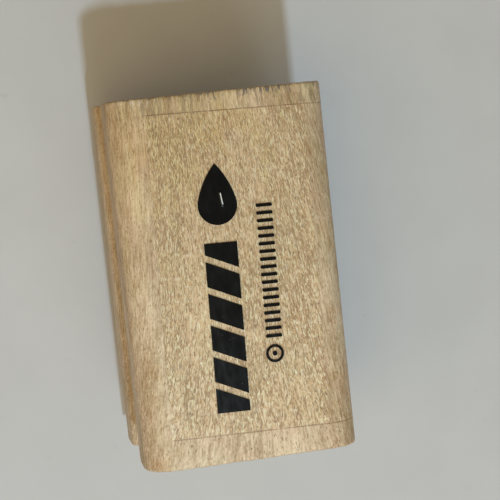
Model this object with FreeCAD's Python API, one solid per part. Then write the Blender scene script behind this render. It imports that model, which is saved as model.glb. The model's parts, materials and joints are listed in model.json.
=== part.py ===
"""Small wood-mounted rubber stamp, as separate pieces, in millimetres.

A maple block with a finger groove along each long side carries a clear index label on its top. Under it,
a foam cushion with an adhesive film on each face holds the rubber die, whose relief prints a striped
candle. The label shows the same candle, a small ring and a row of ticks.

Frame: +Z up, +Y along the block, origin under the block's centre on the plane of the die's printing faces.
"""
import FreeCAD, Part
import math
import os

from FreeCAD import Vector

# ---------------------------------------------------------------- block
block_length = 38.1         # along Y, 1 1/2 in
block_width = 22.5          # along X
block_height = 20.5         # a dressed 4/4 maple board
round_over = 3.2            # radius along the two long top edges
groove_centre = 8.6         # middle of each finger groove, above the block's underside
groove_radius = 5.0         # of the cutter that makes the groove
groove_depth = 2.2          # from the block's side to the groove's bottom
lip_radius = 1.2            # sanded lip where the groove meets the side
edge_break = 0.15           # chamfer round the two sawn ends

# ---------------------------------------------------------------- picture, shared by the die and the label
flame_width = 4.05
flame_length = 6.25
flame_join = 14.0           # degrees above the flame's widest place, where its sides leave the round foot
flame_gap = 1.8             # between flame and candle
candle_width = 3.4
candle_length = 17.4
stripe_count = 5            # blank stripes across the candle
stripe_gap = 0.7            # height of each, along Y
stripe_first = 1.5          # from the candle's top to the first one's middle, on the left side
stripe_pitch = 3.24
stripe_drop = 1.5           # how much lower each one is on the right side

# ---------------------------------------------------------------- die and cushion
relief_height = 1.2         # printing faces below the die's floor
relief_draft = 0.2          # how much wider the relief is at its foot, on each side
die_sheet = 1.2             # rubber behind the relief
die_margin = 2.0            # rubber left round the picture
die_corner = 2.2            # radius of the die's two corners at the candle's foot
foam_thickness = 3.0
film_thickness = 0.1        # each adhesive film on the foam
film_inset = 0.15           # from the foam's edge to the film's edge

# ---------------------------------------------------------------- index label
label_side_margin = 3.0     # from the block's side to the label
label_end_margin = 2.55     # from the block's end to the label
label_thickness = 0.1
label_corner = 0.5
label_shift = (0.3, 0.5)    # label's centre on the block: it is stuck on by hand
label_skew = -1.5           # degrees about Z
ink_thickness = 0.04
picture_place = (-1.65, -1.5)   # picture's centre, from the label's centre
ring_place = (3.05, -8.65)
ring_diameter = 1.85
ring_line = 0.26
dot_diameter = 0.5
tick_row_place = (3.1, -0.1)    # middle of the row, from the label's centre
tick_count = 18
tick_pitch = 0.79           # along Y
tick_length = 1.7           # along X
tick_width = 0.34
tick_corner = 0.15

# ---------------------------------------------------------------- levels, from the printing faces up
die_floor = relief_height
die_top = die_floor + die_sheet
foam_bottom = die_top + film_thickness
foam_top = foam_bottom + foam_thickness
block_bottom = foam_top + film_thickness
block_top = block_bottom + block_height
label_top = block_top + label_thickness

# ---------------------------------------------------------------- places along Y, with the picture centred on 0
picture_length = flame_length + flame_gap + candle_length
flame_tip = picture_length / 2
flame_round = flame_width / 2                           # radius of the flame's round foot
flame_middle = flame_tip - flame_length + flame_round   # centre of that round foot
candle_top = candle_length - picture_length / 2


def line(start, end):
    """Straight edge between two points."""
    return Part.LineSegment(start, end).toShape()


def arc(start, middle, end):
    """Round edge through three points."""
    return Part.Arc(start, middle, end).toShape()


def arc_about(centre, start, end):
    """The shorter round edge about a centre, from one point to another."""
    towards_middle = ((start - centre) + (end - centre)).normalize()
    return arc(start, centre + towards_middle * (start - centre).Length, end)


def closed(edges):
    """One closed wire from edges given in any order."""
    return Part.Wire(Part.__sortEdges__(edges))


def mirrored(shape):
    """The same shape on the other side of X 0."""
    return shape.mirror(Vector(0, 0, 0), Vector(1, 0, 0))


def prism(wire, height):
    """Solid of a closed flat wire raised along Z."""
    return Part.Face(wire).extrude(Vector(0, 0, height))


def rounded_rectangle(width, length, radius, z):
    """Closed wire centred on 0, with its four corners rounded."""
    centre_x, centre_y = width / 2 - radius, length / 2 - radius
    edges = [
        line(Vector(-centre_x, -length / 2, z), Vector(centre_x, -length / 2, z)),
        line(Vector(-centre_x, length / 2, z), Vector(centre_x, length / 2, z)),
        line(Vector(-width / 2, -centre_y, z), Vector(-width / 2, centre_y, z)),
        line(Vector(width / 2, -centre_y, z), Vector(width / 2, centre_y, z)),
    ]
    for side_x, side_y in ((1, 1), (-1, 1), (-1, -1), (1, -1)):
        centre = Vector(side_x * centre_x, side_y * centre_y, z)
        edges.append(arc_about(centre, centre + Vector(side_x * radius, 0, 0), centre + Vector(0, side_y * radius, 0)))
    return closed(edges)


# ---------------------------------------------------------------- block
def block_side():
    """Edges of the block's right side in its end outline, from the underside to the flat top."""
    side = block_width / 2
    groove = Vector(side - groove_depth + groove_radius, 0, groove_centre)
    between_centres = groove_radius + lip_radius
    lip_rise = math.sqrt(between_centres ** 2 - (between_centres - groove_depth) ** 2)

    def lip(up):
        """A lip's centre, the point where it leaves the side, and the point where it meets the groove."""
        centre = Vector(side - lip_radius, 0, groove_centre + up * lip_rise)
        return centre, Vector(side, 0, centre.z), centre + (groove - centre).normalize() * lip_radius

    low_centre, low_side, low_groove = lip(-1)
    high_centre, high_side, high_groove = lip(1)
    crown = Vector(side - round_over, 0, block_height - round_over)
    crown_side = Vector(side, 0, crown.z)
    return [
        line(Vector(side, 0, 0), low_side),
        arc_about(low_centre, low_side, low_groove),
        arc_about(groove, low_groove, high_groove),
        arc_about(high_centre, high_groove, high_side),
        line(high_side, crown_side),
        arc_about(crown, crown_side, Vector(crown.x, 0, block_height)),
    ]


def maple_block():
    """The end outline run along Y, with the edges of both sawn ends broken."""
    side = block_width / 2
    flat = side - round_over
    right = block_side()
    outline = closed(right + [mirrored(edge) for edge in right] + [
        line(Vector(-side, 0, 0), Vector(side, 0, 0)),
        line(Vector(-flat, 0, block_height), Vector(flat, 0, block_height)),
    ])
    outline.translate(Vector(0, -block_length / 2, block_bottom))
    block = Part.Face(outline).extrude(Vector(0, block_length, 0))
    ends = [face for face in block.Faces if abs(face.normalAt(0, 0).y) > 0.99]
    return block.makeChamfer(edge_break, [edge for face in ends for edge in face.Edges])


# ---------------------------------------------------------------- picture
def flame_side(z, grow=0.0):
    """Centre, start and end of the arc of the flame's right side, moved outwards by grow.

    The arc leaves the flame's round foot along a tangent and ends at the tip, on X 0.
    """
    turn = math.radians(flame_join)
    outward = Vector(math.cos(turn), math.sin(turn), 0)
    join = Vector(0, flame_middle, z) + outward * flame_round
    to_tip = Vector(0, flame_tip, z) - join
    radius = -to_tip.Length ** 2 / (2 * to_tip.dot(outward))
    centre = join - outward * radius
    tip_rise = math.sqrt((radius + grow) ** 2 - centre.x ** 2)
    return centre, join + outward * grow, Vector(0, centre.y + tip_rise, z)


def flame_outline(z, grow=0.0):
    """Wire of the flame: a drop with its point at +Y."""
    centre, join, tip = flame_side(z, grow)
    side = arc_about(centre, join, tip)
    foot = Vector(0, flame_middle - flame_round - grow, z)
    return closed([side, mirrored(side), arc(Vector(-join.x, join.y, z), foot, join)])


def candle_outlines(z, grow=0.0):
    """Wires of the candle's blocks between the blank stripes, top one first."""
    reach = candle_width / 2 + grow

    def cut(depth, drop, side):
        """Ends of a block's upper (side 1) or lower (side -1) edge, at the left and at the right."""
        slope = drop / candle_width
        outward = side * grow * math.sqrt(1 + slope ** 2)
        middle = candle_top - depth - drop / 2 + outward
        return [Vector(-reach, middle + slope * reach, z), Vector(reach, middle - slope * reach, z)]

    upper_edges = [cut(0, 0, 1)]
    lower_edges = []
    for index in range(stripe_count):
        depth = stripe_first + index * stripe_pitch
        lower_edges.append(cut(depth - stripe_gap / 2, stripe_drop, -1))
        upper_edges.append(cut(depth + stripe_gap / 2, stripe_drop, 1))
    lower_edges.append(cut(candle_length, 0, -1))
    return [Part.makePolygon(upper + lower[::-1] + upper[:1]) for upper, lower in zip(upper_edges, lower_edges)]


# ---------------------------------------------------------------- die and cushion
def trimmed_outline(z, inset=0.0):
    """Wire of the rubber and the foam: it follows the flame, and is square at the candle's foot."""
    half = max(flame_width, candle_width) / 2 + die_margin - inset
    margin = half - flame_round
    middle = Vector(0, flame_middle, z)
    tip = Vector(0, flame_tip, z)
    side_centre, join, _ = flame_side(z, margin)
    tip_side = tip + (tip - side_centre).normalize() * margin
    tip_other_side = Vector(-tip_side.x, tip_side.y, z)
    shoulder = middle + Vector(half, 0, 0)
    foot = -picture_length / 2 - die_margin + inset
    radius = die_corner - inset
    corner = Vector(half - radius, foot + radius, z)
    corner_side = corner + Vector(radius, 0, 0)
    corner_foot = corner - Vector(0, radius, 0)
    right = [
        arc_about(corner, corner_foot, corner_side),
        line(corner_side, shoulder),
        arc_about(middle, shoulder, join),
        arc_about(side_centre, join, tip_side),
    ]
    return closed(right + [mirrored(edge) for edge in right] + [
        arc_about(tip, tip_side, tip_other_side),
        line(Vector(-corner_foot.x, foot, z), corner_foot),
    ])


def rubber_die():
    """Rubber sheet with the picture standing out of its underside, moulded in one piece."""
    sheet = prism(trimmed_outline(die_floor), die_sheet)
    faces = [flame_outline(0)] + candle_outlines(0)
    feet = [flame_outline(die_floor, relief_draft)] + candle_outlines(die_floor, relief_draft)
    relief = [Part.makeLoft([face, foot], True, True) for face, foot in zip(faces, feet)]
    return sheet.fuse(relief).removeSplitter()


def foam_cushion():
    """Foam between the two adhesive films, cut to the die's outline."""
    return prism(trimmed_outline(foam_bottom), foam_thickness)


def adhesive_film(z):
    """One adhesive film of the cushion, with its underside at z."""
    return prism(trimmed_outline(z, film_inset), film_thickness)


# ---------------------------------------------------------------- index label and its printing
def on_label(solids, place=(0.0, 0.0)):
    """Puts solids drawn about 0 at a place on the label, and turns them with it."""
    group = Part.Compound(solids)
    group.translate(Vector(*place, 0))
    group.rotate(Vector(0, 0, 0), Vector(0, 0, 1), label_skew)
    group.translate(Vector(*label_shift, 0))
    return group


def index_label():
    """Clear film on the block's flat top."""
    width = block_width - 2 * label_side_margin
    length = block_length - 2 * label_end_margin
    return on_label([prism(rounded_rectangle(width, length, label_corner, block_top), label_thickness)])


def picture_print(wires):
    """Ink of closed wires of the picture, one solid each."""
    return on_label([prism(wire, ink_thickness) for wire in wires], picture_place)


def ring_print():
    """Small ring with a dot in its middle."""
    centre = Vector(0, 0, label_top)
    outer = Part.makeCylinder(ring_diameter / 2, ink_thickness, centre)
    inner = Part.makeCylinder(ring_diameter / 2 - ring_line, ink_thickness, centre)
    dot = Part.makeCylinder(dot_diameter / 2, ink_thickness, centre)
    return on_label([outer.cut(inner), dot], ring_place)


def tick_row_print():
    """Row of equal ticks beside the candle."""
    first = -(tick_count - 1) * tick_pitch / 2
    ticks = []
    for index in range(tick_count):
        tick = prism(rounded_rectangle(tick_length, tick_width, tick_corner, label_top), ink_thickness)
        tick.translate(Vector(0, first + index * tick_pitch, 0))
        ticks.append(tick)
    return on_label(ticks, tick_row_place)


# ---------------------------------------------------------------- the pieces
pieces = {
    "maple_block": maple_block(),
    "upper_adhesive": adhesive_film(foam_top),
    "foam_cushion": foam_cushion(),
    "lower_adhesive": adhesive_film(die_top),
    "rubber_die": rubber_die(),
    "index_label": index_label(),
    "flame_print": picture_print([flame_outline(label_top)]),
    "candle_print": picture_print(candle_outlines(label_top)),
    "ring_print": ring_print(),
    "tick_row_print": tick_row_print(),
}

os.makedirs("parts", exist_ok=True)
for name, shape in pieces.items():
    shape.exportStep(f"parts/{name}.step")
    print(f"{name}: {len(shape.Solids)} solids, {shape.Volume:.2f} mm3, valid {shape.isValid()}")
print(f"height over all {label_top + ink_thickness:.2f}")
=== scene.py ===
"""Looks of a small wood-mounted rubber stamp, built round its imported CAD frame.

Blender works in metres. Names that end in _mm hold millimetres, and shapes and textures are worked out
in millimetres, because that is how the stamp's details are measured.
"""
import json
import math

import bmesh
import bpy
import numpy as np
from mathutils import Matrix, Vector


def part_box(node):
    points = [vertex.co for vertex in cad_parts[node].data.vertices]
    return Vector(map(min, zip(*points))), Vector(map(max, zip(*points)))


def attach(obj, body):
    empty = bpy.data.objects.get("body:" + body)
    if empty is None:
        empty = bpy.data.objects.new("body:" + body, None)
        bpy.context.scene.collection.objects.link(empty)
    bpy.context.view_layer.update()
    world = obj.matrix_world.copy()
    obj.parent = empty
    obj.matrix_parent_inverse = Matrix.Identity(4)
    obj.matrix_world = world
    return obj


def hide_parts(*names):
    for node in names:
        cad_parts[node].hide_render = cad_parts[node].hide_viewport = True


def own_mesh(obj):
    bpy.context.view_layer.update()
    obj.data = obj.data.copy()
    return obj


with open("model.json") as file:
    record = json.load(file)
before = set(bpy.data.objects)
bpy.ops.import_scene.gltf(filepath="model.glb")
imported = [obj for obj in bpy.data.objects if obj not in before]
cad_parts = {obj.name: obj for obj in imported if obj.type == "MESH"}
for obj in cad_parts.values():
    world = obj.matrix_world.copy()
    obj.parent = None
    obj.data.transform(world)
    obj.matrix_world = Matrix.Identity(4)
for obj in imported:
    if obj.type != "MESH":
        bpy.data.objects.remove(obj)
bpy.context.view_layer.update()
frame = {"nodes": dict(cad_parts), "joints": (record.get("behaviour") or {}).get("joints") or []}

MM = 0.001
scene = bpy.context.scene
nodes = frame["nodes"]


def box_mm(node):
    """Lowest and highest corners of a CAD node, in millimetres."""
    low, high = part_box(node)
    return np.array(low) / MM, np.array(high) / MM


block_low, block_high = box_mm("maple_block")
label_low, label_high = box_mm("index_label")
foam_low, foam_high = box_mm("foam_cushion")
die_low, die_high = box_mm("rubber_die")
flame_low, flame_high = box_mm("flame_print")

# Sizes that the frame's boxes don't give, as in the CAD.
ROUND_OVER_MM = 3.2
LABEL_SKEW = math.radians(-1.5)
LABEL_HALF_WIDTH_MM = 8.25
LABEL_HALF_LENGTH_MM = 16.5
RELIEF_MM = 1.2
label_middle = (label_low + label_high) / 2
flat_half = block_high[0] - ROUND_OVER_MM       # the flat top reaches this far to each side
block_top = float(block_high[2])
far_end = float(block_high[1])

# The saw's marks on the block's ends, which the mesh and the material share. The CAD has none.
SAW_ACROSS = 5.2            # radians per millimetre along X
SAW_UP = 0.9                # and along Z
SAW_WANDER = 5.0            # how far noise bends them, in radians


# ---------------------------------------------------------------- shader nodes
class Signal:
    """A number on a shader socket. Arithmetic on it adds Math nodes."""

    def __init__(self, shader, socket):
        self.shader = shader
        self.socket = socket

    def math(self, operation, *others):
        return self.shader.math(operation, self, *others)

    def __add__(self, other):
        return self.math("ADD", other)

    def __sub__(self, other):
        return self.math("SUBTRACT", other)

    def __mul__(self, other):
        return self.math("MULTIPLY", other)

    def __truediv__(self, other):
        return self.math("DIVIDE", other)

    def size(self):
        return self.math("ABSOLUTE")

    def inverse(self):
        """1 where this is 0, and 0 where this is 1."""
        return self.shader.math("SUBTRACT", 1.0, self)

    def step(self, low, high):
        """0 below low, 1 above high, and smooth between them. With low above high it falls instead."""
        ranged = self.shader.add("ShaderNodeMapRange", interpolation_type="SMOOTHSTEP", Value=self)
        ranged.inputs["From Min"].default_value = low
        ranged.inputs["From Max"].default_value = high
        return Signal(self.shader, ranged.outputs["Result"])

    def near(self, middle, reach):
        """1 at the middle, falling to 0 at that reach from it."""
        return (self - middle).size().step(reach, 0.0)


class Shader:
    """One node material. Places in it are millimetres in the object's frame."""

    def __init__(self, name):
        self.material = bpy.data.materials.new(name)
        self.material.use_nodes = True
        self.tree = self.material.node_tree
        self.tree.nodes.clear()
        metres = self.add("ShaderNodeTexCoord").outputs["Object"]
        scaled = self.add("ShaderNodeVectorMath", operation="SCALE", Vector=metres, Scale=1 / MM)
        self.place = scaled.outputs["Vector"]
        split = self.add("ShaderNodeSeparateXYZ", Vector=self.place)
        self.x, self.y, self.z = (Signal(self, split.outputs[axis]) for axis in "XYZ")

    def connect(self, socket, value):
        """Links a signal or a socket to a socket, or sets a plain value on it."""
        if isinstance(value, Signal):
            value = value.socket
        if isinstance(value, bpy.types.NodeSocket):
            self.tree.links.new(value, socket)
        elif value is not None:
            socket.default_value = value

    def add(self, kind, **values):
        """A node, with its settings and inputs by name."""
        made = self.tree.nodes.new(kind)
        for name, value in values.items():
            if hasattr(made, name) and name not in made.inputs:
                setattr(made, name, value)
            else:
                self.connect(made.inputs[name.replace("_", " ")], value)
        return made

    def math(self, operation, *values):
        made = self.add("ShaderNodeMath", operation=operation)
        for socket, value in zip(made.inputs, values):
            self.connect(socket, value)
        return Signal(self, made.outputs[0])

    def point(self, x, y, z):
        return self.add("ShaderNodeCombineXYZ", X=x, Y=y, Z=z).outputs[0]

    def counted(self, place, size_mm, shift):
        """A place counted in patches of that size along X, Y and Z, moved so that layers don't coincide."""
        scaled = self.add("ShaderNodeVectorMath", operation="DIVIDE")
        self.connect(scaled.inputs[0], place or self.place)
        self.connect(scaled.inputs[1], size_mm)
        moved = self.add("ShaderNodeVectorMath", operation="ADD")
        self.connect(moved.inputs[0], scaled.outputs[0])
        self.connect(moved.inputs[1], (shift, shift * 1.7, shift * 2.3))
        return moved.outputs[0]

    def noise(self, size_mm, place=None, detail=2.0, shift=0.0):
        """Soft noise from 0 to 1, about 0.5, in patches of that size."""
        where = self.counted(place, size_mm, shift)
        made = self.add("ShaderNodeTexNoise", Vector=where, Scale=1.0, Detail=detail)
        return Signal(self, made.outputs["Fac"])

    def flakes(self, size_mm, place=None, shift=0.0):
        """Patches of that size, each with its own number from 0 to 1."""
        where = self.counted(place, size_mm, shift)
        made = self.add("ShaderNodeTexVoronoi", feature="SMOOTH_F1", Vector=where, Scale=1.0, Smoothness=0.35)
        split = self.add("ShaderNodeSeparateXYZ", Vector=made.outputs["Color"])
        return Signal(self, split.outputs["X"])

    def cells(self, size_mm):
        """Distance from the nearest of many scattered points, in shares of that spacing."""
        scaled = self.add("ShaderNodeVectorMath", operation="SCALE", Vector=self.place, Scale=1 / size_mm)
        made = self.add("ShaderNodeTexVoronoi", Vector=scaled.outputs["Vector"], Scale=1.0)
        return Signal(self, made.outputs["Distance"])

    def mix(self, share, first, second):
        """The first colour where share is 0, and the second where it is 1."""
        made = self.add("ShaderNodeMix", data_type="RGBA")
        self.connect(made.inputs[0], share)
        self.connect(made.inputs[6], first)
        self.connect(made.inputs[7], second)
        return made.outputs[2]

    def tinted(self, share, colour, tint):
        """The colour multiplied by a tint, by that share."""
        made = self.add("ShaderNodeMix", data_type="RGBA", blend_type="MULTIPLY")
        self.connect(made.inputs[0], share)
        self.connect(made.inputs[6], colour)
        self.connect(made.inputs[7], tint)
        return made.outputs[2]

    def bump(self, height, depth_mm):
        made = self.add("ShaderNodeBump", Height=height, Distance=depth_mm * MM)
        return made.outputs["Normal"]

    def finish(self, **inputs):
        """Ends in one Principled surface with these inputs, and gives the material."""
        surface = self.add("ShaderNodeBsdfPrincipled", **inputs)
        output = self.add("ShaderNodeOutputMaterial")
        self.tree.links.new(surface.outputs[0], output.inputs["Surface"])
        return self.material


# ---------------------------------------------------------------- materials
GRAIN_LEAN = 0.03           # how far the grain drifts to the left per millimetre towards the far end
GRAIN_FAN = 0.016           # how that drift grows to the right, per millimetre
GRAIN_CURL = 0.002          # and towards the far end, per millimetre
RING_CENTRE_MM = (7.0, -34.0)   # X and Z of the tree's heart, below the block
RING_PITCH_MM = 3.4
END_LINE_REACH_MM = 0.11    # the dark line along the label's cut ends fades out this far from its middle
FAR_STRIP_MM = 1.9          # bare wood between the label and the far end
TOP_SIDE_MM = 0.9, 1.2      # marks of the top side fade out between these depths below the top
# The painted shade on the long sides sets in between the two depths below.
END_LINE_MM = 1.8, 2.2      # and the line along the label's ends
SIDE_SHADE_MM = 2.0, 4.0         # the tint of the long sides sets in between these
# Where the ink's raised crease and its painted highlight lie.
WRINKLE_PLACE = 0.62, 0.42, 1.0     # in shares of the flame's box


def rgba(red, green, blue):
    return (red, green, blue, 1.0)


DARK_WOOD = rgba(0.41, 0.265, 0.124)
PALE_WOOD = rgba(0.97, 0.785, 0.545)
DASH_BROWN = rgba(0.25, 0.135, 0.06)
PORE_BROWN = rgba(0.24, 0.13, 0.065)
# Colour of the pale flecks of painted highlight on the wood.
PAINTED_GLINT = rgba(1.0, 0.95, 0.74)
LINE_BROWN = rgba(0.22, 0.105, 0.045)
SCRATCH_BROWN = rgba(0.27, 0.19, 0.11)
SPILT_INK = rgba(0.085, 0.088, 0.085)
TORN_PALE = rgba(0.78, 0.70, 0.54)
TORN_DARK = rgba(0.12, 0.085, 0.05)


def grain_place(s):
    """The place with the grain's lean taken out, so that what runs along Y there follows the grain."""
    drift = s.y * (s.x * GRAIN_FAN + s.y * GRAIN_CURL + GRAIN_LEAN)
    return s.point(s.x + drift, s.y, s.z)


def label_masks(s):
    """Where the label lies, the dark line along its cut ends, and the block's top side, from 0 to 1."""
    from_x = s.x - float(label_middle[0])
    from_y = s.y - float(label_middle[1])
    label_x = from_x * math.cos(LABEL_SKEW) + from_y * math.sin(LABEL_SKEW)
    label_y = from_y * math.cos(LABEL_SKEW) - from_x * math.sin(LABEL_SKEW)
    on_top = s.z.step(block_top - TOP_SIDE_MM[1], block_top - TOP_SIDE_MM[0])
    in_length = label_y.size().step(LABEL_HALF_LENGTH_MM, LABEL_HALF_LENGTH_MM - 0.05)
    in_width = label_x.size().step(LABEL_HALF_WIDTH_MM, LABEL_HALF_WIDTH_MM - 0.1)
    broken = s.noise((1.2, 1.2, 1.2), detail=3.0, shift=5.0).step(0.3, 0.55) * 0.5 + 0.5
    upward = s.z.step(block_top - END_LINE_MM[1], block_top - END_LINE_MM[0])
    end_line = label_y.size().near(LABEL_HALF_LENGTH_MM + 0.03, END_LINE_REACH_MM)
    right_of_left_side = label_x.step(-LABEL_HALF_WIDTH_MM - 0.05, -LABEL_HALF_WIDTH_MM + 0.25)
    end_line = end_line * right_of_left_side * upward * broken
    return in_width * in_length * on_top, end_line, on_top


def fibre_colour(s, grain, label, tone):
    """The broad tone with short flakes and specks on it, dark dashes and pores, and pale flecks painted as
    highlight.
    """
    dashes = s.noise((0.10, 0.5, 0.10), grain, detail=1.0, shift=37.0)
    flakes = s.flakes((0.17, 0.95, 0.17), grain, shift=29.0)
    painted_glints = s.noise((0.10, 0.48, 0.10), grain, detail=0.0, shift=43.0)
    specks = s.noise((0.09, 0.28, 0.09), grain, detail=1.0, shift=83.0)
    pores = s.noise((0.09, 1.3, 0.09), grain, detail=1.0, shift=97.0)
    spots = s.noise((2.4, 3.2, 2.4), grain, detail=3.0, shift=19.0)
    contrast = label * 0.65 + 0.35
    tone = tone + ((flakes - 0.5) * 0.5 + (specks - 0.5) * 1.7) * contrast + 0.5
    colour = s.mix(tone.step(0.0, 1.0), DARK_WOOD, PALE_WOOD)
    colour = s.mix(dashes.step(0.38, 0.30) * (label * 0.25 + 0.7), colour, DASH_BROWN)
    colour = s.mix(pores.step(0.70, 0.78) * 0.55, colour, PORE_BROWN)
    colour = s.tinted(spots.step(0.52, 0.72) * 0.6, colour, rgba(0.87, 0.76, 0.60))
    # Pale flecks painted in as highlight, most of them on the label.
    return s.mix(painted_glints.step(0.58, 0.67) * (label * 0.85 + 0.15), colour, PAINTED_GLINT)


def broad_tones(s, colour, label, hue):
    """Golden at the far left and pinkish at the near right, with painted shade darkening the far end, the
    wood off the label and the long sides.
    """
    colour = s.tinted(hue.step(0.35, 0.65), colour, rgba(0.985, 1.0, 0.965))
    colour = s.tinted(hue.step(0.60, 0.40), colour, rgba(1.0, 0.97, 0.955))
    golden = (s.y - s.x * 0.8 + (hue - 0.5) * 30.0).step(6.0, 22.0) * (label * 0.3 + 0.45)
    colour = s.tinted(golden, colour, rgba(0.96, 0.89, 0.64))
    # Painted shade: the wood grows darker and greyer towards the far end.
    far = s.y.step(-16.0, 19.0) * (label * 0.2 + 0.6)
    colour = s.tinted(far, colour, rgba(0.84, 0.80, 0.76))
    near_right = (s.x - s.y).step(8.0, 30.0) * 0.5
    colour = s.tinted(near_right, colour, rgba(0.98, 0.90, 0.86))
    colour = s.tinted(label, colour, rgba(1.0, 0.965, 0.835))
    # Painted shade: all the bare wood off the label, with its rounded slopes, is made darker and a little
    # cooler.
    colour = s.tinted(label.inverse(), colour, rgba(0.93, 0.92, 0.90))
    # Painted shade, a little cool, on the long sides below the top.
    side_shade = s.z.step(block_top - SIDE_SHADE_MM[0], block_top - SIDE_SHADE_MM[1])
    return s.tinted(side_shade, colour, rgba(0.93, 0.95, 0.97))


def far_end_marks(s, colour, on_top):
    """Scratches beside the label's far end, ink run over the far edge, and torn fibres at its left."""
    far_strip = s.y.step(far_end - FAR_STRIP_MM - 0.4, far_end - FAR_STRIP_MM) * on_top
    scratches = s.noise((0.26, 2.2, 0.26), detail=1.0, shift=61.0).step(0.52, 0.64)
    colour = s.mix(far_strip * scratches * 0.55, colour, SCRATCH_BROWN)
    colour = s.tinted(far_strip, colour, rgba(0.96, 0.97, 0.93))

    edge = (s.y + s.noise((0.5, 0.5, 0.5), shift=3.0) * 1.6).step(far_end - 0.15, far_end + 0.55) * on_top
    stain = s.noise((0.25, 1.6, 0.25), shift=51.0).step(0.51, 0.60) * edge * s.x.step(-6.0, -1.0)
    colour = s.mix(stain * 0.75, colour, SPILT_INK)
    torn = s.noise((0.2, 1.8, 0.8), shift=57.0)
    left_end = edge * s.x.step(-4.5, -6.5)
    colour = s.mix(left_end * torn.step(0.54, 0.66) * 0.7, colour, TORN_PALE)
    return s.mix(left_end * torn.step(0.43, 0.36) * 0.9, colour, TORN_DARK)


def growth_rings(s):
    """Distance from the tree's heart, the direction to it, and the rings round it, from -1 to 1."""
    heart_x = s.x - RING_CENTRE_MM[0]
    heart_z = s.z - RING_CENTRE_MM[1]
    across = s.math("SQRT", heart_x.math("POWER", 2.0) + heart_z.math("POWER", 2.0))
    wavy = across + s.noise((9, 40, 9), detail=2.0) * 2.2
    return across, heart_x / heart_z, (wavy * (2 * math.pi / RING_PITCH_MM)).math("SINE")


def end_colour(s, across, turn, rings, patches, vessels, saw):
    """The sawn ends: thin dark growth rings, paler rays across them, pores, and the saw's marks."""
    rays = s.noise((1.0, 1.0, 1.0), s.point(turn * 210.0, 0.0, across * 0.3), detail=2.0).step(0.45, 0.7)
    late_wood = rings.step(0.80, 1.0) * 0.45 + rings.step(-0.2, 1.0) * 0.15
    colour = s.mix((patches - 0.5) * 1.2 + 0.4, rgba(0.53, 0.375, 0.215), rgba(0.42, 0.28, 0.145))
    colour = s.mix(late_wood + vessels * 0.35, colour, rgba(0.27, 0.16, 0.075))
    return s.mix(rays * 0.3 + saw.step(0.2, 1.0) * 0.1, colour, rgba(0.70, 0.54, 0.36))


def maple():
    """Hard maple: fibres along Y that show most through the label, and rings on the sawn ends."""
    s = Shader("maple")
    grain = grain_place(s)
    across, turn, rings = growth_rings(s)
    patches = s.noise((3.5, 13, 3.5), grain, detail=3.0)
    lines = s.noise((0.2, 4.5, 0.2), grain, detail=3.0, shift=11.0)
    fibres = s.noise((0.16, 1.3, 0.16), grain, detail=2.0, shift=23.0)
    hue = s.noise((1.6, 4.0, 1.6), grain, detail=2.0, shift=91.0)
    label, end_line, on_top = label_masks(s)

    tone = (patches - 0.5) * 0.9 + (lines - 0.5) * 0.85 + rings * 0.03 + (fibres - 0.5) * 0.6
    colour = fibre_colour(s, grain, label, tone)
    colour = broad_tones(s, colour, label, hue)
    colour = s.mix(end_line * 0.75, colour, LINE_BROWN)
    colour = far_end_marks(s, colour, on_top)

    normal = s.add("ShaderNodeSeparateXYZ", Vector=s.add("ShaderNodeNewGeometry").outputs["Normal"])
    sawn = Signal(s, normal.outputs["Y"]).size().step(0.6, 0.85)
    vessels = s.noise((0.14, 0.5, 0.14), detail=1.0, shift=71.0).step(0.42, 0.30)
    wander = s.noise((3, 3, 3), shift=9.0) * SAW_WANDER
    saw = (s.x * SAW_ACROSS + s.z * SAW_UP + wander).math("SINE")
    colour = s.mix(sawn, colour, end_colour(s, across, turn, rings, patches, vessels, saw))

    height = fibres * 0.6 + lines * 0.8 + saw * sawn * 0.35 - vessels * sawn
    return s.finish(Base_Color=colour, Roughness=(fibres * 0.3 + 0.42), Specular_IOR_Level=0.35,
                    Normal=s.bump(height, 0.035))


def clear_film():
    """Clear label film: fine ripples pressed in from the grain underneath, a little haze, and pale highlight
    painted on the ripples' crests.
    """
    s = Shader("clear_film")
    grain = grain_place(s)
    ripples = s.noise((0.22, 1.0, 0.22), grain, detail=1.0, shift=37.0)
    haze = s.noise((2.0, 4.0, 2.0), detail=3.0)
    # Pale colour is painted on the ripples' crests as highlight.
    painted_glints = ripples.step(0.55, 0.7)
    colour = s.mix(haze, rgba(0.56, 0.41, 0.23), rgba(0.66, 0.51, 0.32))
    colour = s.mix(painted_glints, colour, rgba(0.98, 0.9, 0.74))
    return s.finish(Base_Color=colour, Roughness=(haze * 0.15 + 0.16), Alpha=0.14,
                    Normal=s.bump(ripples, 0.04))


def black_ink():
    """Glossy black ink with a few dust specks, faint ripples, and one raised crease in the flame with a pale
    highlight painted along it.
    """
    s = Shader("black_ink")
    wrinkle_x, wrinkle_y = (flame_low + (flame_high - flame_low) * WRINKLE_PLACE)[:2]
    from_y = s.y - float(wrinkle_y)
    from_wrinkle = (s.x - float(wrinkle_x) + from_y * 0.12).size()
    crease_and_highlight = from_wrinkle.step(0.2, 0.0) * from_y.size().step(0.85, 0.5)
    ripples = s.noise((0.9, 1.8, 0.9), detail=1.0)
    specks = s.cells(0.55).step(0.10, 0.04) * s.noise((2.5, 2.5, 2.5), shift=4.0).step(0.5, 0.62)
    colour = s.mix(specks * 0.35, rgba(0.003, 0.003, 0.0027), rgba(0.16, 0.15, 0.12))
    # A pale highlight is painted along the crease's crest.
    colour = s.mix(crease_and_highlight.step(0.6, 1.0) * 0.9, colour, rgba(0.86, 0.86, 0.80))
    return s.finish(Base_Color=colour, Roughness=(ripples * 0.12 + 0.14), Specular_IOR_Level=0.2,
                    Normal=s.bump(ripples + specks * 0.3 + crease_and_highlight * 4.0, 0.02))


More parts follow.
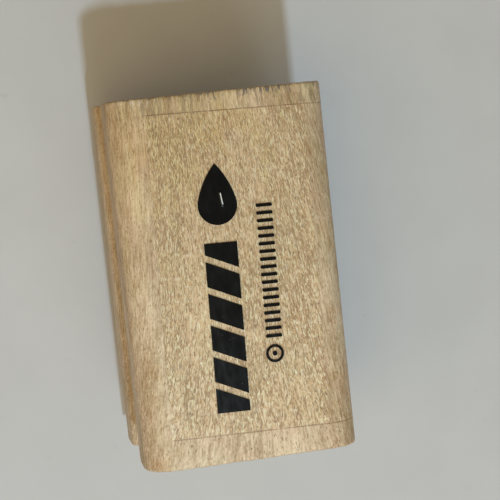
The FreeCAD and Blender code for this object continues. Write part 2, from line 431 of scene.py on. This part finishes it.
def red_rubber():
    """Moulded stamp rubber: dull brick red, inked black on its relief."""
    s = Shader("red_rubber")
    mottling = s.noise((1.6, 1.6, 1.6), detail=4.0)
    skin = s.noise((0.12, 0.12, 0.12), detail=2.0, shift=8.0)
    colour = s.mix(mottling.step(0.3, 0.7), rgba(0.27, 0.060, 0.048), rgba(0.36, 0.092, 0.070))
    worn = s.noise((0.8, 0.8, 0.8), detail=4.0, shift=13.0).step(0.36, 0.56)
    inked = (s.z + mottling * 0.5).step(0.75, 0.3) * (worn * 0.5 + 0.45)
    colour = s.mix(inked, colour, rgba(0.025, 0.018, 0.018))
    rubbed = s.cells(0.7).step(0.09, 0.03) * 0.5
    colour = s.mix(rubbed, colour, rgba(0.45, 0.20, 0.17))
    return s.finish(Base_Color=colour, Roughness=(mottling * 0.2 + 0.5), Specular_IOR_Level=0.4,
                    Normal=s.bump(skin + mottling * 0.8, 0.03))


def grey_foam():
    """Closed-cell cushion foam: pale grey, cut edges open to small cells."""
    s = Shader("grey_foam")
    cells = s.cells(0.32)
    tone = s.noise((1.2, 1.2, 1.2), detail=3.0)
    colour = s.mix(tone.step(0.3, 0.7), rgba(0.44, 0.44, 0.42), rgba(0.56, 0.56, 0.53))
    colour = s.mix(cells.step(0.30, 0.05) * 0.55, colour, rgba(0.17, 0.17, 0.165))
    return s.finish(Base_Color=colour, Roughness=(tone * 0.15 + 0.78), Specular_IOR_Level=0.3,
                    Normal=s.bump(cells + tone * 0.5, 0.06))


def adhesive():
    """Film of glue, yellowish and slightly streaked."""
    s = Shader("adhesive")
    streaks = s.noise((0.5, 3.0, 0.5), detail=3.0)
    colour = s.mix(streaks.step(0.3, 0.7), rgba(0.60, 0.52, 0.34), rgba(0.74, 0.67, 0.48))
    return s.finish(Base_Color=colour, Roughness=(streaks * 0.2 + 0.25), Normal=s.bump(streaks, 0.02))


def pale_board():
    """The floor: smooth pale board with faint mottling and a few grey smudges."""
    s = Shader("pale_board")
    mottling = s.noise((9, 9, 9), detail=4.0)
    smudge = s.noise((2.4, 1.6, 2.4), detail=1.0, shift=2.0).step(0.76, 0.84) * 0.25
    colour = s.mix(mottling.step(0.2, 0.8), rgba(0.575, 0.568, 0.545), rgba(0.605, 0.600, 0.575))
    colour = s.mix(smudge, colour, rgba(0.40, 0.40, 0.39))
    return s.finish(Base_Color=colour, Roughness=(mottling * 0.2 + 0.5), Specular_IOR_Level=0.2,
                    Normal=s.bump(s.noise((0.4, 0.4, 0.4), detail=3.0), 0.004))


# ---------------------------------------------------------------- shapes
INSIDE_CAD_MM = 0.004       # keeps the wood just inside its CAD shape
FOAM_WAIST_MM = 0.22        # how far the foam's sides pull in at mid-height
BLOCK_VOXEL_MM = 0.22
FOAM_VOXEL_MM = 0.15
RUBBER_VOXEL_MM = 0.1


def hashed(cells, seed):
    """A repeatable number from 0 to 1 for each whole-numbered cell."""
    mixed = (cells @ np.array([73856093, 19349663, 83492791]) + seed * 50331653) & 0xFFFFFFFF
    mixed = ((mixed ^ (mixed >> 15)) * 2246822519) & 0xFFFFFFFF
    mixed = ((mixed ^ (mixed >> 13)) * 3266489917) & 0xFFFFFFFF
    return (mixed ^ (mixed >> 16)) / 0xFFFFFFFF


def rough(points, size_mm, seed):
    """Smooth noise from 0 to 1 at each point, in patches of that size along X, Y and Z."""
    place = points / np.array(size_mm, float)
    corner = np.floor(place).astype(np.int64)
    part = place - corner
    part = part * part * (3 - 2 * part)
    total = np.zeros(len(points))
    for step in np.ndindex(2, 2, 2):
        weight = np.prod(np.where(step, part, 1 - part), axis=1)
        total += weight * hashed(corner + step, seed)
    return total


def ramp(value, low, high):
    """0 at low, 1 at high, straight between them."""
    return np.clip((value - low) / (high - low), 0, 1)


def fine_copy(node, name, voxel_mm):
    """A new piece with a CAD node's shape as a fine, even mesh, for now in millimetres."""
    mesh = nodes[node].data.copy()
    mesh.materials.clear()
    mesh.transform(Matrix.Scale(1 / MM, 4))
    piece = bpy.data.objects.new(name, mesh)
    scene.collection.objects.link(piece)
    remesh = piece.modifiers.new("fine", "REMESH")
    remesh.mode = "VOXEL"
    remesh.voxel_size = voxel_mm
    remesh.use_smooth_shade = True
    evaluated = piece.evaluated_get(bpy.context.evaluated_depsgraph_get())
    piece.data = bpy.data.meshes.new_from_object(evaluated)
    piece.data.name = name
    piece.modifiers.clear()
    return piece


def press_in(piece, depth, low, high):
    """Moves each point of a piece in millimetres inwards by depth(points, normals), and makes it metres."""
    mesh = piece.data
    count = len(mesh.vertices) * 3
    points = np.empty(count)
    normals = np.empty(count)
    mesh.vertices.foreach_get("co", points)
    mesh.vertex_normals.foreach_get("vector", normals)
    points = points.reshape(-1, 3)
    normals = normals.reshape(-1, 3)
    moved = points - normals * depth(points, normals)[:, None]
    moved = np.clip(moved, low, high) * MM
    mesh.vertices.foreach_set("co", moved.ravel())
    mesh.update()


def wood_depth(points, normals):
    """Sanded long faces, saw marks on the two ends, chips on the far top edge, and a worn near one."""
    x, y, z = points.T
    sawn = ramp(np.abs(normals[:, 1]), 0.5, 0.9)
    sanding = 0.030 * rough(points, (0.9, 9, 0.9), 1) + 0.020 * rough(points, (0.4, 3, 0.4), 2)
    saw_turn = x * SAW_ACROSS + z * SAW_UP + SAW_WANDER * rough(points, (3, 3, 3), 3)
    saw_marks = 0.022 * (1 + np.sin(saw_turn)) + 0.03 * rough(points, (1, 1, 1), 4)
    edge = ramp(y, block_high[1] - 1.0, block_high[1]) * ramp(z, block_high[2] - 1.2, block_high[2])
    splinter = ramp(rough(points, (0.45, 4, 2), 5), 0.58, 0.85)
    left_splinters = 1 + 1.5 * ramp(x, -5, -8)
    chips = 0.16 * edge * edge * splinter * left_splinters
    near_edge = ramp(y, block_low[1] + 0.6, block_low[1]) * ramp(z, block_high[2] - 0.7, block_high[2])
    wear = 0.10 * near_edge * rough(points, (2.2, 1, 1), 6)
    return INSIDE_CAD_MM + (1 - sawn) * sanding + sawn * saw_marks + chips + wear


def foam_depth(points, normals):
    """Cut sides pulled in at mid-height, wavy and open to small cells; the glued faces stay flat."""
    side = 1 - ramp(np.abs(normals[:, 2]), 0.3, 0.8)
    height = ramp(points[:, 2], foam_low[2], foam_high[2])
    waist = FOAM_WAIST_MM * np.sin(math.pi * height)
    wave = 0.10 * rough(points, (2.5, 2.5, 1.5), 11)
    cells = 0.12 * ramp(rough(points, (0.35, 0.35, 0.35), 12), 0.62, 0.85)
    return side * (waist + wave + cells)


def rubber_depth(points, normals):
    """Moulded rubber: faint sink marks, the printing faces kept flat, knife marks round its edge."""
    printing = ramp(points[:, 2], 0.25, 0.05)
    skin = 0.018 * rough(points, (0.8, 0.8, 0.8), 21) + 0.010 * rough(points, (0.25, 0.25, 0.25), 22)
    cut = (1 - ramp(np.abs(normals[:, 2]), 0.3, 0.8)) * ramp(points[:, 2], RELIEF_MM, RELIEF_MM + 0.2)
    knife = 0.05 * rough(points, (1.4, 1.4, 0.3), 23)
    return (1 - printing) * skin + cut * knife


def round_over_drop(x):
    """How far the block's top lies below its flat part, at a place across it."""
    over = min(max(abs(x) - flat_half, 0.0), ROUND_OVER_MM)
    return ROUND_OVER_MM - math.sqrt(ROUND_OVER_MM ** 2 - over ** 2)


def draped_label(name, step_mm=0.1):
    """The label's film, cut into narrow strips over the block's rounded edges and bent down onto them."""
    mesh = nodes["index_label"].data.copy()
    mesh.materials.clear()
    mesh.transform(Matrix.Scale(1 / MM, 4))
    film = bmesh.new()
    film.from_mesh(mesh)
    bmesh.ops.remove_doubles(film, verts=film.verts, dist=0.001)
    reach = max(abs(label_low[0]), abs(label_high[0]))
    for cut in np.arange(flat_half, reach, step_mm):
        for side in (-1, 1):
            everything = film.verts[:] + film.edges[:] + film.faces[:]
            bmesh.ops.bisect_plane(film, geom=everything, plane_co=(side * cut, 0, 0), plane_no=(1, 0, 0))
    for vertex in film.verts:
        vertex.co.z -= round_over_drop(vertex.co.x)
    film.to_mesh(mesh)
    film.free()
    mesh.transform(Matrix.Scale(MM, 4))
    mesh.name = name
    piece = bpy.data.objects.new(name, mesh)
    scene.collection.objects.link(piece)
    return piece


# ---------------------------------------------------------------- pieces
def dress(piece, material, slot, body, *replaced):
    """Gives a new piece its material and the body it rides on, and hides the CAD nodes it stands for. The
    slot is not used.
    """
    piece.data.materials.clear()
    piece.data.materials.append(material)
    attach(piece, body)
    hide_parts(*replaced)


def paint(material, *names):
    """Gives CAD nodes that stay shown a better material."""
    for name in names:
        nodes[name].material_slots[0].material = material


block_voxel = BLOCK_VOXEL_MM
block = fine_copy("maple_block", "stamp_block", block_voxel)
press_in(block, wood_depth, block_low, block_high)
dress(block, maple(), "maple", "block", "maple_block")

label = draped_label("label_film")
dress(label, clear_film(), "clear_film", "block", "index_label")

foam = fine_copy("foam_cushion", "cut_foam", FOAM_VOXEL_MM)
press_in(foam, foam_depth, foam_low, foam_high)
dress(foam, grey_foam(), "foam", "block", "foam_cushion")
press = next(joint for joint in frame["joints"] if joint["name"] == "cushion_press")
foam_thickness = (foam_high[2] - foam_low[2]) * MM
pressed_share = 1 - press["range_m"][1] / foam_thickness
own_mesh(foam)

rubber = fine_copy("rubber_die", "moulded_die", RUBBER_VOXEL_MM)
press_in(rubber, rubber_depth, die_low, die_high)
dress(rubber, red_rubber(), "red_rubber", "die", "rubber_die")

paint(black_ink(), "flame_print", "candle_print", "ring_print", "tick_row_print")
paint(adhesive(), "upper_adhesive", "lower_adhesive")


# ---------------------------------------------------------------- floor, light and camera
FLOOR_GAP_MM = 0.01         # keeps the printing faces clear of the floor that they stand on


def floor(half_size=1.5, cells=24):
    """Large level sheet at the height that the stamp stands on."""
    mesh = bpy.data.meshes.new("floor")
    sheet = bmesh.new()
    bmesh.ops.create_grid(sheet, x_segments=cells, y_segments=cells, size=half_size)
    sheet.to_mesh(mesh)
    sheet.free()
    mesh.materials.append(pale_board())
    ground = bpy.data.objects.new("floor", mesh)
    ground.location.z = -FLOOR_GAP_MM * MM
    scene.collection.objects.link(ground)


def area_light(name, towards, distance, size, power, colour):
    """Rectangular lamp seen from the stamp in that direction, facing it."""
    data = bpy.data.lights.new(name, "AREA")
    data.shape = "RECTANGLE"
    data.size, data.size_y = size
    data.energy = power
    data.color = colour
    lamp = bpy.data.objects.new(name, data)
    direction = Vector(towards).normalized()
    lamp.location = direction * distance
    lamp.rotation_euler = direction.to_track_quat("Z", "Y").to_euler()
    scene.collection.objects.link(lamp)


def surroundings(colour, strength):
    """Even light from all round."""
    world = bpy.data.worlds.new("room")
    world.use_nodes = True
    background = world.node_tree.nodes["Background"]
    background.inputs["Color"].default_value = rgba(*colour)
    background.inputs["Strength"].default_value = strength
    scene.world = world


def camera(place, target, up, lens_mm):
    """The photograph's camera."""
    data = bpy.data.cameras.new("camera")
    data.lens = lens_mm
    data.sensor_width = 36.0
    data.clip_start = 0.01
    forward = (Vector(target) - Vector(place)).normalized()
    right = forward.cross(Vector(up)).normalized()
    above = right.cross(forward)
    eye = bpy.data.objects.new("camera", data)
    eye.matrix_world = Matrix.Translation(place) @ Matrix((right, above, -forward)).transposed().to_4x4()
    scene.collection.objects.link(eye)
    scene.camera = eye


floor()
# A small bluish lamp gives the sharp shadow; three wide ones, warm at the left, fill it.
area_light("key", towards=(-0.045, -0.359, 1.0), distance=0.319, size=(0.0125, 0.0145), power=0.45,
           colour=(0.60, 0.79, 1.0))
area_light("left_window", towards=(-1.0, -0.25, 0.8), distance=1.6, size=(1.0, 1.0), power=2.76,
           colour=(1.0, 0.73, 0.66))
area_light("left_softbox", towards=(-0.5, -0.3, 1.6), distance=1.6, size=(1.0, 1.0), power=6.3,
           colour=(1.0, 0.74, 0.32))
area_light("near_softbox", towards=(0.1, -1.0, 0.8), distance=1.6, size=(1.0, 1.0), power=5.0,
           colour=(0.72, 0.85, 1.0))
surroundings(colour=(1.0, 0.94, 0.78), strength=0.2)
camera(place=(-0.02417, 0.01570, 0.18053), target=(0.00169, 0.00261, 0.0261), up=(0.118, 0.991, -0.064),
       lens_mm=111.2)
scene.view_settings.view_transform = "Standard"
